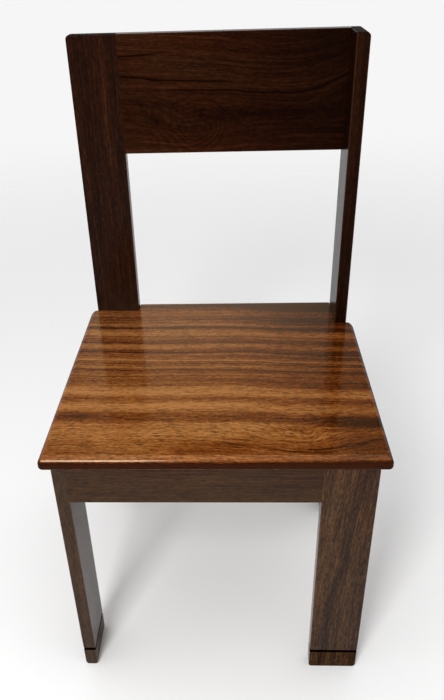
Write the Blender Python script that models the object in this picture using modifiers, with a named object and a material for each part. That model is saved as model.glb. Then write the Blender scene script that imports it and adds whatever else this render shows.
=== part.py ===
"""A wooden side chair of flat planks, as a bench assembly of separate pieces.

Four equal planks stand round a square base, each a quarter turn from the last, so that every rail
runs from the wide face of one leg to the narrow edge of the next. The two rear planks go on up as
posts and carry the backrest board. Dowels join the rails to the legs, and screwed corner blocks
stiffen the frame and hold the seat board down.

Metres. +Z is up, +Y is towards the back, and the origin is on the floor under the middle of the base.
"""

import math

import bmesh
import bpy
from mathutils import Matrix, Vector

# Overall sizes
FRAME_SIDE = 0.452
SEAT_HEIGHT = 0.450
CHAIR_HEIGHT = 0.914

# Leg planks and the saw kerf round each foot
LEG_WIDTH = 0.077
LEG_THICKNESS = 0.020
KERF_HEIGHT = 0.039
KERF_WIDTH = 0.0042
KERF_DEPTH = 0.003
ARRIS_RADIUS = 0.0015
FOOT_RADIUS = 0.003
POST_TOP_RADIUS = 0.006

# Rails: the four aprons under the seat and the backrest board
APRON_HEIGHT = 0.067
APRON_THICKNESS = 0.020
BACKREST_HEIGHT = 0.178
BACKREST_THICKNESS = 0.020

# Seat board, with its upper edge rounded over and its lower edge only eased
SEAT_THICKNESS = 0.020
SEAT_OVERHANG = 0.013
SEAT_ROUNDOVER = 0.011
SEAT_EASING = 0.0025
SEAT_CORNER_RADIUS = 0.006
SEAT_LEAST_CORNER_RADIUS = 0.0008

# Dowels, sunk less deep in a leg's wide face than in its edge
DOWEL_DIAMETER = 0.008
DOWEL_LENGTH = 0.040
DOWEL_CHAMFER = 0.0008
DOWEL_DEPTH_IN_FACE = 0.012
DOWEL_DEPTH_IN_EDGE = 0.020
APRON_DOWELS = 2
APRON_DOWEL_PITCH = 0.034
BACKREST_DOWELS = 3
BACKREST_DOWEL_PITCH = 0.055

# Corner blocks and their screws
BLOCK_SIDE = 0.052
BLOCK_TIP = 0.010
BLOCK_HEIGHT = 0.040
BLOCK_CHAMFER = 0.001
SCREW_DIAMETER = 0.004
SCREW_HEAD_DIAMETER = 0.008
SCREW_HEAD_HEIGHT = 0.0026
SCREW_TIP_LENGTH = 0.005
SCREW_RECESS_SPAN = 0.0044
SCREW_RECESS_ROOT_WIDTH = 0.0014
SCREW_RECESS_TIP_WIDTH = 0.0009
SCREW_RECESS_DEPTH = 0.0014
SIDE_SCREW_LENGTH = 0.026
SIDE_SCREW_GRIP = 0.012
SIDE_SCREW_OFFSET = 0.034
SEAT_SCREW_LENGTH = 0.030
SEAT_SCREW_GRIP = 0.018
SEAT_SCREW_INSET = 0.017
COUNTERBORE_CLEARANCE = 0.0005

# Clearance between pieces that touch, and the fineness of round shapes
FIT_GAP = 0.0003
ARRIS_SEGMENTS = 2
ROUNDOVER_STEPS = 5
EASING_STEPS = 2
CORNER_STEPS = 5
ROUND_SIDES = 12
BIT_OVERRUN = 0.010

# Places worked out from the sizes above
HALF = FRAME_SIDE / 2
FRAME_TOP = SEAT_HEIGHT - SEAT_THICKNESS - FIT_GAP
APRON_BOTTOM = FRAME_TOP - APRON_HEIGHT
BACKREST_BOTTOM = CHAIR_HEIGHT - BACKREST_HEIGHT
LEG_INNER_FACE = -HALF + LEG_THICKNESS
LEG_INNER_EDGE = -HALF + LEG_WIDTH
BLOCK_SIDE_FACE = LEG_INNER_FACE + FIT_GAP
BLOCK_BACK = -HALF + APRON_THICKNESS + FIT_GAP
BLOCK_MIDDLE = FRAME_TOP - BLOCK_HEIGHT / 2
HOLE_RADIUS = DOWEL_DIAMETER / 2 + FIT_GAP
PILOT_RADIUS = SCREW_DIAMETER / 2 + FIT_GAP
COUNTERBORE_RADIUS = SCREW_HEAD_DIAMETER / 2 + COUNTERBORE_CLEARANCE

# The corners, counter-clockwise from above, each a quarter turn on from the last, and the two with posts
CORNERS = ("front_left", "front_right", "rear_right", "rear_left")
POST_CORNERS = ("rear_right", "rear_left")


def new_collection(name):
    collection = bpy.data.collections.new(name)
    bpy.context.scene.collection.children.link(collection)
    return collection


def new_material(name, colour, roughness, metallic=0.0):
    material = bpy.data.materials.new(name)
    material.use_nodes = True
    shader = material.node_tree.nodes["Principled BSDF"]
    shader.inputs["Base Color"].default_value = (*colour, 1.0)
    shader.inputs["Roughness"].default_value = roughness
    shader.inputs["Metallic"].default_value = metallic
    return material


for old in list(bpy.data.objects):
    bpy.data.objects.remove(old)

CHAIR = new_collection("side_chair")
CUTTERS = new_collection("side_chair_cutters")
FRAME_WOOD = new_material("frame_wood", (0.060, 0.026, 0.012), 0.30)
SEAT_WOOD = new_material("seat_wood", (0.270, 0.105, 0.036), 0.20)
BLOCK_WOOD = new_material("block_wood", (0.220, 0.120, 0.060), 0.70)
DOWEL_WOOD = new_material("dowel_wood", (0.520, 0.350, 0.200), 0.70)
SCREW_STEEL = new_material("screw_steel", (0.560, 0.550, 0.500), 0.35, 1.0)


def quarter_turn(place):
    """How far a corner is turned from the first one."""
    return CORNERS.index(place) * math.pi / 2


def add_corner(place):
    """An empty at the origin, turned to its corner, that carries the corner's pieces."""
    corner = bpy.data.objects.new("corner_" + place, None)
    corner.rotation_euler.z = quarter_turn(place)
    CHAIR.objects.link(corner)
    return corner


def add_piece(name, mesh, material, parent=None, location=(0, 0, 0), rotation=(0, 0, 0)):
    piece = bpy.data.objects.new(name, mesh)
    CHAIR.objects.link(piece)
    piece.parent = parent
    piece.location = location
    piece.rotation_euler = rotation
    if not mesh.materials:
        mesh.materials.append(material)
    return piece


def add_cutter(name, mesh, parent=None):
    cutter = bpy.data.objects.new(name, mesh)
    CUTTERS.objects.link(cutter)
    cutter.parent = parent
    cutter.hide_render = True
    cutter.display_type = "WIRE"
    return cutter


def cut(piece, cutter):
    boolean = piece.modifiers.new(cutter.name, "BOOLEAN")
    boolean.operation = "DIFFERENCE"
    boolean.object = cutter


def mesh_from(name, bm):
    mesh = bpy.data.meshes.new(name)
    bm.to_mesh(mesh)
    bm.free()
    return mesh


def mesh_of_object(obj):
    """The mesh that an object's curve or modifiers make, welded. The object is removed."""
    depsgraph = bpy.context.evaluated_depsgraph_get()
    mesh = bpy.data.meshes.new_from_object(obj.evaluated_get(depsgraph))
    bm = bmesh.new()
    bm.from_mesh(mesh)
    bmesh.ops.remove_doubles(bm, verts=bm.verts, dist=0.00001)
    bm.to_mesh(mesh)
    bm.free()
    bpy.data.objects.remove(obj)
    return mesh


def outline_mesh(name, outlines, thickness):
    """A plate of that thickness about z = 0. An outline inside another is a hole."""
    curve = bpy.data.curves.new(name, "CURVE")
    curve.dimensions = "2D"
    curve.fill_mode = "BOTH"
    curve.extrude = thickness / 2
    for outline in outlines:
        spline = curve.splines.new("POLY")
        spline.points.add(len(outline) - 1)
        for point, (x, y) in zip(spline.points, outline):
            point.co = (x, y, 0, 1)
        spline.use_cyclic_u = True
    plate = bpy.data.objects.new(name, curve)
    CUTTERS.objects.link(plate)
    return mesh_of_object(plate)


def rectangle(low, high):
    (x0, y0), (x1, y1) = low, high
    return [(x0, y0), (x1, y0), (x1, y1), (x0, y1)]


def add_board(name, low, high, radii, material, parent):
    """A board between two corners. radii gives the rounding of an edge by where it lies on the board:
    the signs of its x, y and z, with 0 along the edge. Edges that it leaves out stay square."""
    low = Vector(low)
    high = Vector(high)
    size = high - low
    widest = max(radii.values())
    bm = bmesh.new()
    bmesh.ops.create_cube(bm, size=1.0, matrix=Matrix.Diagonal((*size, 1.0)))
    weight = bm.edges.layers.float.new("bevel_weight_edge")
    for edge in bm.edges:
        middle = (edge.verts[0].co + edge.verts[1].co) / 2
        side = tuple(round(2 * m / s) for m, s in zip(middle, size))
        edge[weight] = radii.get(side, 0.0) / widest
    board = add_piece(name, mesh_from(name, bm), material, parent, (low + high) / 2)
    rounding = board.modifiers.new("rounded_edges", "BEVEL")
    rounding.limit_method = "WEIGHT"
    rounding.width = widest
    rounding.segments = ARRIS_SEGMENTS
    return board


def drill(piece, holes, parent):
    """Bores round holes into a piece. A hole is its mouth, its direction, its depth and its radius."""
    bm = bmesh.new()
    for mouth, direction, depth, radius in holes:
        along = Vector(direction)
        length = depth + BIT_OVERRUN
        middle = Vector(mouth) + along * (depth - BIT_OVERRUN) / 2
        turn = along.to_track_quat("Z", "Y").to_matrix().to_4x4()
        bmesh.ops.create_cone(
            bm,
            cap_ends=True,
            segments=ROUND_SIDES,
            radius1=radius,
            radius2=radius,
            depth=length,
            matrix=Matrix.Translation(middle) @ turn,
        )
    name = piece.name + "_bores"
    cut(piece, add_cutter(name, mesh_from(name, bm), parent))


def pitched(count, pitch, middle):
    """Places of a row of whole dowels at that pitch about a middle height."""
    whole = round(count)
    return [middle + (i - (whole - 1) / 2) * pitch for i in range(whole)]


# Rails, each with the corner that it starts from, its span in height, its thickness and its dowels' heights
APRON_DOWEL_ROW = pitched(APRON_DOWELS, APRON_DOWEL_PITCH, APRON_BOTTOM + APRON_HEIGHT / 2)
BACKREST_DOWEL_ROW = pitched(BACKREST_DOWELS, BACKREST_DOWEL_PITCH, BACKREST_BOTTOM + BACKREST_HEIGHT / 2)
RAILS = {
    "front_apron": ("front_left", APRON_BOTTOM, FRAME_TOP, APRON_THICKNESS, APRON_DOWEL_ROW),
    "right_apron": ("front_right", APRON_BOTTOM, FRAME_TOP, APRON_THICKNESS, APRON_DOWEL_ROW),
    "rear_apron": ("rear_right", APRON_BOTTOM, FRAME_TOP, APRON_THICKNESS, APRON_DOWEL_ROW),
    "left_apron": ("rear_left", APRON_BOTTOM, FRAME_TOP, APRON_THICKNESS, APRON_DOWEL_ROW),
    "backrest_board": ("rear_right", BACKREST_BOTTOM, CHAIR_HEIGHT, BACKREST_THICKNESS, BACKREST_DOWEL_ROW),
}


def leg_radii(place):
    """Edge roundings of a leg: eased arrises, rounder feet, and on the posts round outer top edges."""
    radii = {(x, y, 0): ARRIS_RADIUS for x in (-1, 1) for y in (-1, 1)}
    ends = [(-1, 0), (1, 0), (0, -1), (0, 1)]
    radii.update({(x, y, -1): FOOT_RADIUS for x, y in ends})
    if place in POST_CORNERS:
        radii.update({(x, y, 1): ARRIS_RADIUS for x, y in ends})
    if place == "rear_right":
        radii.update({(-1, 0, 1): POST_TOP_RADIUS, (0, 1, 1): POST_TOP_RADIUS})
    if place == "rear_left":
        radii.update({(0, -1, 1): POST_TOP_RADIUS, (0, 1, 1): 0.0})
    return radii


def corner_after(place):
    """The next corner round the chair, where a rail that starts at this one ends."""
    return CORNERS[(CORNERS.index(place) + 1) % len(CORNERS)]


def leg_bores(place):
    """Dowel holes for the rail that starts at a leg's wide face and the one that ends at its edge,
    and the pilot hole of the corner block's screw."""
    holes = []
    for start, _, _, thickness, row in RAILS.values():
        for z in row:
            if start == place:
                mouth = (LEG_INNER_FACE, -HALF + thickness / 2, z)
                holes.append((mouth, (-1, 0, 0), DOWEL_DEPTH_IN_FACE + FIT_GAP, HOLE_RADIUS))
            if corner_after(start) == place:
                mouth = (-HALF + thickness / 2, LEG_INNER_EDGE, z)
                holes.append((mouth, (0, -1, 0), DOWEL_DEPTH_IN_EDGE + FIT_GAP, HOLE_RADIUS))
    bite = SIDE_SCREW_LENGTH - SIDE_SCREW_GRIP
    mouth = (LEG_INNER_FACE, BLOCK_BACK + SIDE_SCREW_OFFSET, BLOCK_MIDDLE)
    holes.append((mouth, (-1, 0, 0), bite + FIT_GAP, PILOT_RADIUS))
    return holes


def add_leg(place, corner):
    """A plank that stands on the floor, with a saw kerf all round it above the foot."""
    name = place + ("_post" if place in POST_CORNERS else "_leg")
    top = CHAIR_HEIGHT if place in POST_CORNERS else FRAME_TOP
    low = (-HALF, -HALF, 0.0)
    high = (LEG_INNER_FACE, LEG_INNER_EDGE, top)
    leg = add_board(name, low, high, leg_radii(place), FRAME_WOOD, corner)
    outer = rectangle(
        (-HALF - BIT_OVERRUN, -HALF - BIT_OVERRUN),
        (LEG_INNER_FACE + BIT_OVERRUN, LEG_INNER_EDGE + BIT_OVERRUN),
    )
    inner = rectangle(
        (-HALF + KERF_DEPTH, -HALF + KERF_DEPTH),
        (LEG_INNER_FACE - KERF_DEPTH, LEG_INNER_EDGE - KERF_DEPTH),
    )
    kerf = add_cutter(name + "_kerf", outline_mesh(name + "_kerf", [outer, inner], KERF_WIDTH), corner)
    kerf.location.z = KERF_HEIGHT
    cut(leg, kerf)
    drill(leg, leg_bores(place), corner)


def add_rail(name, corner):
    """A rail from the wide face of its own corner's leg to the edge of the next corner's leg."""
    _, bottom, top, thickness, row = RAILS[name]
    start = LEG_INNER_FACE + FIT_GAP
    end = -LEG_INNER_EDGE - FIT_GAP
    radii = {(0, y, z): ARRIS_RADIUS for y in (-1, 1) for z in (-1, 1)}
    if top == FRAME_TOP:
        radii.update({(0, -1, 1): 0.0, (0, 1, 1): 0.0})
    rail = add_board(name, (start, -HALF, bottom), (end, -HALF + thickness, top), radii, FRAME_WOOD, corner)
    middle = -HALF + thickness / 2
    holes = []
    for z in row:
        holes.append(((start, middle, z), (1, 0, 0), DOWEL_LENGTH - DOWEL_DEPTH_IN_FACE, HOLE_RADIUS))
        holes.append(((end, middle, z), (-1, 0, 0), DOWEL_LENGTH - DOWEL_DEPTH_IN_EDGE, HOLE_RADIUS))
    if top == FRAME_TOP:
        bite = SIDE_SCREW_LENGTH - SIDE_SCREW_GRIP
        mouth = (BLOCK_SIDE_FACE + SIDE_SCREW_OFFSET, -HALF + thickness, BLOCK_MIDDLE)
        holes.append((mouth, (0, -1, 0), bite + FIT_GAP, PILOT_RADIUS))
    drill(rail, holes, corner)
    add_dowels(name, middle, row, corner)


def add_dowels(rail_name, middle, row, corner):
    """Plain pins with chamfered ends, one row at each end of a rail."""
    for number, z in enumerate(row, 1):
        face_end = LEG_INNER_FACE - DOWEL_DEPTH_IN_FACE + DOWEL_LENGTH / 2
        edge_end = -LEG_INNER_EDGE + DOWEL_DEPTH_IN_EDGE - DOWEL_LENGTH / 2
        for end, x in (("face", face_end), ("edge", edge_end)):
            name = f"{rail_name}_{end}_dowel_{number}"
            bm = bmesh.new()
            bmesh.ops.create_cone(
                bm,
                cap_ends=True,
                segments=ROUND_SIDES,
                radius1=DOWEL_DIAMETER / 2,
                radius2=DOWEL_DIAMETER / 2,
                depth=DOWEL_LENGTH - 2 * FIT_GAP,
            )
            mesh = mesh_from(name, bm)
            mesh.shade_smooth()
            mesh.set_sharp_from_angle(angle=math.radians(40))
            dowel = add_piece(name, mesh, DOWEL_WOOD, corner, (x, middle, z), (0, math.pi / 2, 0))
            chamfer = dowel.modifiers.new("chamfer", "BEVEL")
            chamfer.width = DOWEL_CHAMFER
            chamfer.segments = 1
            chamfer.angle_limit = math.radians(60)


def screw_mesh(length):
    """A pan-head wood screw, turned about Z with its head seat at z = 0, and a cross recess in the head."""
    shank = SCREW_DIAMETER / 2
    head = SCREW_HEAD_DIAMETER / 2
    shoulder = SCREW_HEAD_HEIGHT / 2
    profile = [
        (0.0, SCREW_HEAD_HEIGHT),
        (head * math.cos(math.radians(45)), SCREW_HEAD_HEIGHT),
        (head, shoulder),
        (head, 0.0),
        (shank, 0.0),
        (shank, SCREW_TIP_LENGTH - length),
        (0.0, -length),
    ]
    bm = bmesh.new()
    points = [bm.verts.new((x, 0, z)) for x, z in profile]
    for upper, lower in zip(points, points[1:]):
        bm.edges.new((upper, lower))
    blank = bpy.data.objects.new("screw_blank", mesh_from("screw_blank", bm))
    CUTTERS.objects.link(blank)
    turning = blank.modifiers.new("turning", "SCREW")
    turning.steps = ROUND_SIDES
    turning.render_steps = ROUND_SIDES
    turning.use_merge_vertices = True
    turning.merge_threshold = 0.00001

    long = SCREW_RECESS_SPAN / 2
    tip = SCREW_RECESS_TIP_WIDTH / 2
    root = SCREW_RECESS_ROOT_WIDTH / 2
    quarter = [(long, -tip), (long, tip), (root, root)]
    cross = []
    for turn in range(4):
        cosine = round(math.cos(turn * math.pi / 2))
        sine = round(math.sin(turn * math.pi / 2))
        cross += [(cosine * x - sine * y, sine * x + cosine * y) for x, y in quarter]
    recess = add_cutter("screw_recess", outline_mesh("screw_recess", [cross], 2 * SCREW_RECESS_DEPTH))
    recess.location.z = SCREW_HEAD_HEIGHT
    cut(blank, recess)
    bpy.context.view_layer.update()
    mesh = mesh_of_object(blank)
    bpy.data.objects.remove(recess)
    mesh.shade_smooth()
    mesh.set_sharp_from_angle(angle=math.radians(30))
    mesh.materials.clear()
    return mesh


SCREW_MESHES = {length: screw_mesh(length) for length in (SIDE_SCREW_LENGTH, SEAT_SCREW_LENGTH)}


def add_corner_block(place, corner):
    """A three-cornered block with blunt tips, bored for a screw to the leg, one to the apron and one
    up into the seat."""
    name = place + "_corner_block"
    outline = [(0, 0), (BLOCK_SIDE, 0), (BLOCK_SIDE, BLOCK_TIP), (BLOCK_TIP, BLOCK_SIDE), (0, BLOCK_SIDE)]
    square = Vector((BLOCK_SIDE_FACE, BLOCK_BACK, BLOCK_MIDDLE))
    block = add_piece(name, outline_mesh(name, [outline], BLOCK_HEIGHT), BLOCK_WOOD, corner, square)
    chamfer = block.modifiers.new("chamfer", "BEVEL")
    chamfer.width = BLOCK_CHAMFER
    chamfer.segments = 1

    through = BLOCK_SIDE + BLOCK_HEIGHT
    leg_seat = square + Vector((SIDE_SCREW_GRIP, SIDE_SCREW_OFFSET, 0))
    apron_seat = square + Vector((SIDE_SCREW_OFFSET, SIDE_SCREW_GRIP, 0))
    seat_seat = square + Vector((SEAT_SCREW_INSET, SEAT_SCREW_INSET, BLOCK_HEIGHT / 2 - SEAT_SCREW_GRIP))
    screws = (
        ("leg", leg_seat, Vector((-1, 0, 0)), SIDE_SCREW_LENGTH, (0, math.pi / 2, 0)),
        ("apron", apron_seat, Vector((0, -1, 0)), SIDE_SCREW_LENGTH, (-math.pi / 2, 0, 0)),
        ("seat", seat_seat, Vector((0, 0, 1)), SEAT_SCREW_LENGTH, (math.pi, 0, 0)),
    )
    for use, head_seat, drive, length, turn in screws:
        drill(block, [(head_seat, drive, through, PILOT_RADIUS)], corner)
        drill(block, [(head_seat - drive * through, drive, through, COUNTERBORE_RADIUS)], corner)
        screw_name = f"{place}_{use}_screw"
        head_place = head_seat - drive * FIT_GAP
        add_piece(screw_name, SCREW_MESHES[length], SCREW_STEEL, corner, head_place, turn)


def seat_ring(inset):
    """Plan of the seat board at one level of its rounded edge: free edges come in by the inset, and the
    notch walls beside the rear posts stay. A corner beside a notch is a quarter of an ellipse."""
    radius = SEAT_CORNER_RADIUS
    inner = max(radius - inset, SEAT_LEAST_CORNER_RADIUS)
    free = HALF + SEAT_OVERHANG - inset - inner
    right_wall = -LEG_INNER_FACE - FIT_GAP
    left_wall = LEG_INNER_EDGE + FIT_GAP
    right_stop = -LEG_INNER_EDGE - FIT_GAP
    left_stop = -LEG_INNER_FACE - FIT_GAP
    # Each rounded corner: its centre, the quarter that it starts in, and its reach along x and y
    corners = [
        ((-free, -free), 2, inner, inner),
        ((free, -free), 3, inner, inner),
        ((free, right_stop - radius), 0, inner, radius),
        ((right_wall, right_stop), None, 0, 0),
        ((right_wall - radius, free), 0, radius, inner),
        ((left_wall + radius, free), 1, radius, inner),
        ((left_wall, left_stop), None, 0, 0),
        ((-free, left_stop - radius), 1, inner, radius),
    ]
    ring = []
    for (x, y), quarter, reach_x, reach_y in corners:
        if quarter is None:
            ring.append((x, y))
            continue
        for step in range(CORNER_STEPS + 1):
            angle = (quarter + step / CORNER_STEPS) * math.pi / 2
            ring.append((x + reach_x * math.cos(angle), y + reach_y * math.sin(angle)))
    return ring


def edge_levels(radius, steps):
    """Levels of an edge with that radius, from the board's face: each one's inset and its depth."""
    levels = []
    for step in range(steps + 1):
        angle = step / steps * math.pi / 2
        levels.append((radius * (1 - math.sin(angle)), radius * (1 - math.cos(angle))))
    return levels


def add_seat():
    """One board with a rounded edge, notched at the back round the two posts, and bored underneath for
    the screws of the corner blocks."""
    low = SEAT_HEIGHT - SEAT_THICKNESS
    stack = [(inset, low + depth) for inset, depth in edge_levels(SEAT_EASING, EASING_STEPS)]
    rounded = edge_levels(SEAT_ROUNDOVER, ROUNDOVER_STEPS)
    stack += [(inset, SEAT_HEIGHT - depth) for inset, depth in reversed(rounded)]

    bm = bmesh.new()
    rings = [[bm.verts.new((x, y, z)) for x, y in seat_ring(inset)] for inset, z in stack]
    for lower, upper in zip(rings, rings[1:]):
        count = len(lower)
        for i in range(count):
            j = (i + 1) % count
            bm.faces.new((lower[i], lower[j], upper[j], upper[i]))
    bm.faces.new(reversed(rings[0]))
    bm.faces.new(rings[-1])
    mesh = mesh_from("seat_board", bm)
    mesh.shade_smooth()
    mesh.set_sharp_from_angle(angle=math.radians(40))
    seat = add_piece("seat_board", mesh, SEAT_WOOD)

    bite = SEAT_SCREW_LENGTH - SEAT_SCREW_GRIP
    holes = []
    for place in CORNERS:
        turn = Matrix.Rotation(quarter_turn(place), 3, "Z")
        mouth = turn @ Vector((BLOCK_SIDE_FACE + SEAT_SCREW_INSET, BLOCK_BACK + SEAT_SCREW_INSET, low))
        holes.append((mouth, (0, 0, 1), bite + FIT_GAP, PILOT_RADIUS))
    drill(seat, holes, None)


corner_frames = {corner_name: add_corner(corner_name) for corner_name in CORNERS}
for corner_name, corner_frame in corner_frames.items():
    add_leg(corner_name, corner_frame)
    add_corner_block(corner_name, corner_frame)
for rail_name, rail in RAILS.items():
    add_rail(rail_name, corner_frames[rail[0]])
add_seat()
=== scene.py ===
"""Looks of a wooden side chair: dark lacquered planks round a square base, a plain board back and a
ribbon-grained seat, with the blocks, screws and dowels that hold them together."""

import math

import bmesh
import bpy
from mathutils import Matrix, Vector


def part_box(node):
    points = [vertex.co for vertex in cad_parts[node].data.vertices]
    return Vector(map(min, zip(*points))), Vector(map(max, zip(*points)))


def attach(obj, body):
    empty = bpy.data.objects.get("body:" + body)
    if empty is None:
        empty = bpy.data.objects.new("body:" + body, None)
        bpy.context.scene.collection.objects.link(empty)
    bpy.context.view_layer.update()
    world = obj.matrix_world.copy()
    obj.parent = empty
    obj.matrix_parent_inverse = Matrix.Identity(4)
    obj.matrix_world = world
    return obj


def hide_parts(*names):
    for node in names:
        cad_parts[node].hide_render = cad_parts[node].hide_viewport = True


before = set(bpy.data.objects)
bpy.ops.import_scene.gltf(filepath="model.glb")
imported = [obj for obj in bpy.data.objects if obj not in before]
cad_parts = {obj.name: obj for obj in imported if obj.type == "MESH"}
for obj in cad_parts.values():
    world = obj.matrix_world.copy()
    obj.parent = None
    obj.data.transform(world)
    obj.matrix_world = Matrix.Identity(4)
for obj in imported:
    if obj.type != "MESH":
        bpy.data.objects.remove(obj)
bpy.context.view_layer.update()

# Front legs.
# Two planed planks of dark hardwood on their sawn ends, one edge on and one face on, stained brown under
# lacquer. Their brown card is paler than the posts', partly the stain and partly painted light. Arrises are
# sanded round, and a saw kerf runs round each foot, with duller wide faces below it.

UP = Vector((0, 0, 1))
RIGHT = Vector((1, 0, 0))
BACK = Vector((0, 1, 0))
ARRIS = 0.0017
TIGHT_ARRIS = 0.0005
SHARP_BEND = math.radians(50)
FOOT_ROUND = 0.0055
FOOT_EASE = 0.001
FOOT_SHINE = 0.03
WIDE_FACING = 0.9
KERF = {"height": 0.039, "width": 0.0042, "depth": 0.003, "lip": 0.0009}

# A plank's finishes, by their places in its list
GLOSSY = 0
SAWN_DARK = 1
DULL = 2

# Brown stain for the legs and aprons, kept paler partly as painted light from the floor and the front
BROWN_STAIN_AND_LIGHT = [
    (0.00, (0.010, 0.0037, 0.0012)),
    (0.30, (0.022, 0.0088, 0.0028)),
    (0.55, (0.039, 0.0166, 0.0053)),
    (0.80, (0.060, 0.0275, 0.0095)),
    (1.00, (0.084, 0.0415, 0.0160)),
]


def rounded_section(station, low, high, arrises, steps=4):
    """Points round a plank's section at one station of its length, from its low and high corners. The
    arrises are the radii at its corners, counter-clockwise from the high one."""
    (y0, z0), (y1, z1) = low, high
    points = []
    for quarter, radius in enumerate(arrises):
        y = y1 - radius if quarter in (0, 3) else y0 + radius
        z = z1 - radius if quarter in (0, 1) else z0 + radius
        for step in range(steps + 1):
            angle = (quarter + step / steps) * math.pi / 2
            points.append((station, y + radius * math.cos(angle), z + radius * math.sin(angle)))
    return points


def end_stations(rounds, steps=5):
    """Depths from a plank's end, and there the inset of each side, for an end rounded by those radii."""
    depths = {0.0}
    for radius in rounds:
        depths.update(radius * (1 - math.sin(step / steps * math.pi / 2)) for step in range(steps + 1))
    stations = []
    for depth in sorted(depths):
        insets = []
        for radius in rounds:
            left = max(radius - depth, 0.0)
            insets.append(radius - math.sqrt(max(radius * radius - left * left, 0.0)))
        stations.append((depth, insets))
    return stations


def skin_over(name, rings, finishes=()):
    """Closes a stack of like rings into one body with a clean cap at each end. The finishes are numbers,
    one for each band between two rings from the first on, and later bands take the first finish."""
    bm = bmesh.new()
    loops = [[bm.verts.new(point) for point in ring] for ring in rings]
    for band, (first, second) in enumerate(zip(loops, loops[1:])):
        for i in range(len(first)):
            j = (i + 1) % len(first)
            side = bm.faces.new((first[i], first[j], second[j], second[i]))
            side.material_index = finishes[band] if band < len(finishes) else GLOSSY
    bm.faces.new(reversed(loops[0]))
    bm.faces.new(loops[-1])
    bmesh.ops.recalc_face_normals(bm, faces=bm.faces)
    mesh = bpy.data.meshes.new(name)
    bm.to_mesh(mesh)
    bm.free()
    mesh.shade_smooth()
    mesh.set_sharp_from_angle(angle=SHARP_BEND)
    return mesh


def mill_plank(name, size, arrises, ends, kerf=None):
    """A plank along x about its own middle. Each end has the radii of its sides low y, high y, low z and
    high z. Below a kerf the wide faces are dull."""
    half = Vector(size) / 2
    stations = [(-half.x + depth, insets) for depth, insets in end_stations(ends[0])]
    finishes = []
    if kerf:
        near = -half.x + kerf["height"] - kerf["width"] / 2
        far = near + kerf["width"]
        lip = kerf["lip"]
        groove = [(near - lip, 0.0), (near, lip), (near, kerf["depth"])]
        groove += [(far, kerf["depth"]), (far, lip), (far + lip, 0.0)]
        finishes = [DULL] * len(stations) + [SAWN_DARK] * (len(groove) - 1)
        stations += [(x, [inset] * 4) for x, inset in groove]
    stations += [(half.x - depth, insets) for depth, insets in reversed(end_stations(ends[1]))]
    rings = []
    for x, (y0, y1, z0, z1) in stations:
        low = (-half.y + y0, -half.z + z0)
        high = (half.y - y1, half.z - z1)
        rings.append(rounded_section(x, low, high, arrises))
    mesh = skin_over(name, rings, finishes)
    for face in mesh.polygons:
        if face.material_index == DULL and abs(face.normal.z) < WIDE_FACING:
            face.material_index = GLOSSY
    return mesh


def draw(tree, kind, inputs=None, **settings):
    """Adds one node to a finish. A socket among the inputs is joined, and anything else is set."""
    node = tree.nodes.new(kind)
    for name, value in settings.items():
        setattr(node, name, value)
    for key, value in (inputs or {}).items():
        if isinstance(value, bpy.types.NodeSocket):
            tree.links.new(value, node.inputs[key])
        else:
            node.inputs[key].default_value = value
    return node


def reckon(tree, operation, *values):
    """One step of arithmetic on numbers or sockets of a finish."""
    return draw(tree, "ShaderNodeMath", dict(enumerate(values)), operation=operation).outputs[0]


def rise(tree, value, low, high):
    """Goes smoothly from 0 to 1 as a value goes from low to high."""
    inputs = {"Value": value, "From Min": low, "From Max": high}
    return draw(tree, "ShaderNodeMapRange", inputs, interpolation_type="SMOOTHSTEP").outputs["Result"]


def streaks(tree, along, across, through, stretch, seed, detail=2.0):
    """Noise drawn out along the grain, about -1 to 1. The stretch is its scale along, across and through."""
    parts = []
    for axis, scale in zip((along, across, through), stretch):
        parts.append(reckon(tree, "MULTIPLY_ADD", axis, scale, seed))
        seed += 3.7
    place = draw(tree, "ShaderNodeCombineXYZ", dict(enumerate(parts))).outputs[0]
    inputs = {"Vector": place, "Scale": 1.0, "Detail": detail, "Roughness": 0.55}
    noise = draw(tree, "ShaderNodeTexNoise", inputs).outputs["Fac"]
    return reckon(tree, "MULTIPLY_ADD", noise, 4.0, -2.0)


def shade_card(tree, value, shades):
    """Colours from a card of shades, darkest first."""
    card = draw(tree, "ShaderNodeValToRGB", {"Fac": value})
    stops = card.color_ramp.elements
    for position, colour in shades[1:-1]:
        stops.new(position).color = (*colour, 1.0)
    stops[0].position, stops[-1].position = shades[0][0], shades[-1][0]
    stops[0].color = (*shades[0][1], 1.0)
    stops[-1].color = (*shades[-1][1], 1.0)
    return card.outputs["Color"]


def blend_colour(tree, part, first, second, how="MIX"):
    """Mixes two colours, each a socket or plain numbers, by a part of the second."""
    mix = draw(tree, "ShaderNodeMix", None, data_type="RGBA", blend_type=how)
    for key, value in ((0, part), (6, first), (7, second)):
        if isinstance(value, bpy.types.NodeSocket):
            tree.links.new(value, mix.inputs[key])
        else:
            mix.inputs[key].default_value = value
    return mix.outputs[2]


def roughen(tree, height, strength, depth):
    """Raises and sinks a finish by a height, for light that catches on grain or scuffs."""
    bump = draw(tree, "ShaderNodeBump", {"Height": height, "Strength": strength, "Distance": depth})
    tree.links.new(bump.outputs["Normal"], tree.nodes["Principled BSDF"].inputs["Normal"])


# What a finish has unless a plank says otherwise: strengths of the grain's layers, its fineness and wander,
# the redness and paleness of the stain, its wear with a painted highlight on the arrises, painted shade on
# sideways edges, then the lacquer and the relief of the grain
PLAIN_LOOK = {"band": 0.16, "line": 0.15, "dash": 0.13, "fibre": 0.14, "speckle": 0.09, "pore": 0.6}
PLAIN_LOOK.update({"fine": 1.0, "wander": 0.006})
PLAIN_LOOK.update({"ruddy": 0.5, "paler": 1.0, "wear_and_highlight": 0.16, "edge": 0.0})
PLAIN_LOOK.update({"rough": 0.19, "specular": 0.25, "glow": (1.0, 1.0, 1.0), "relief": 0.25})

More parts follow.
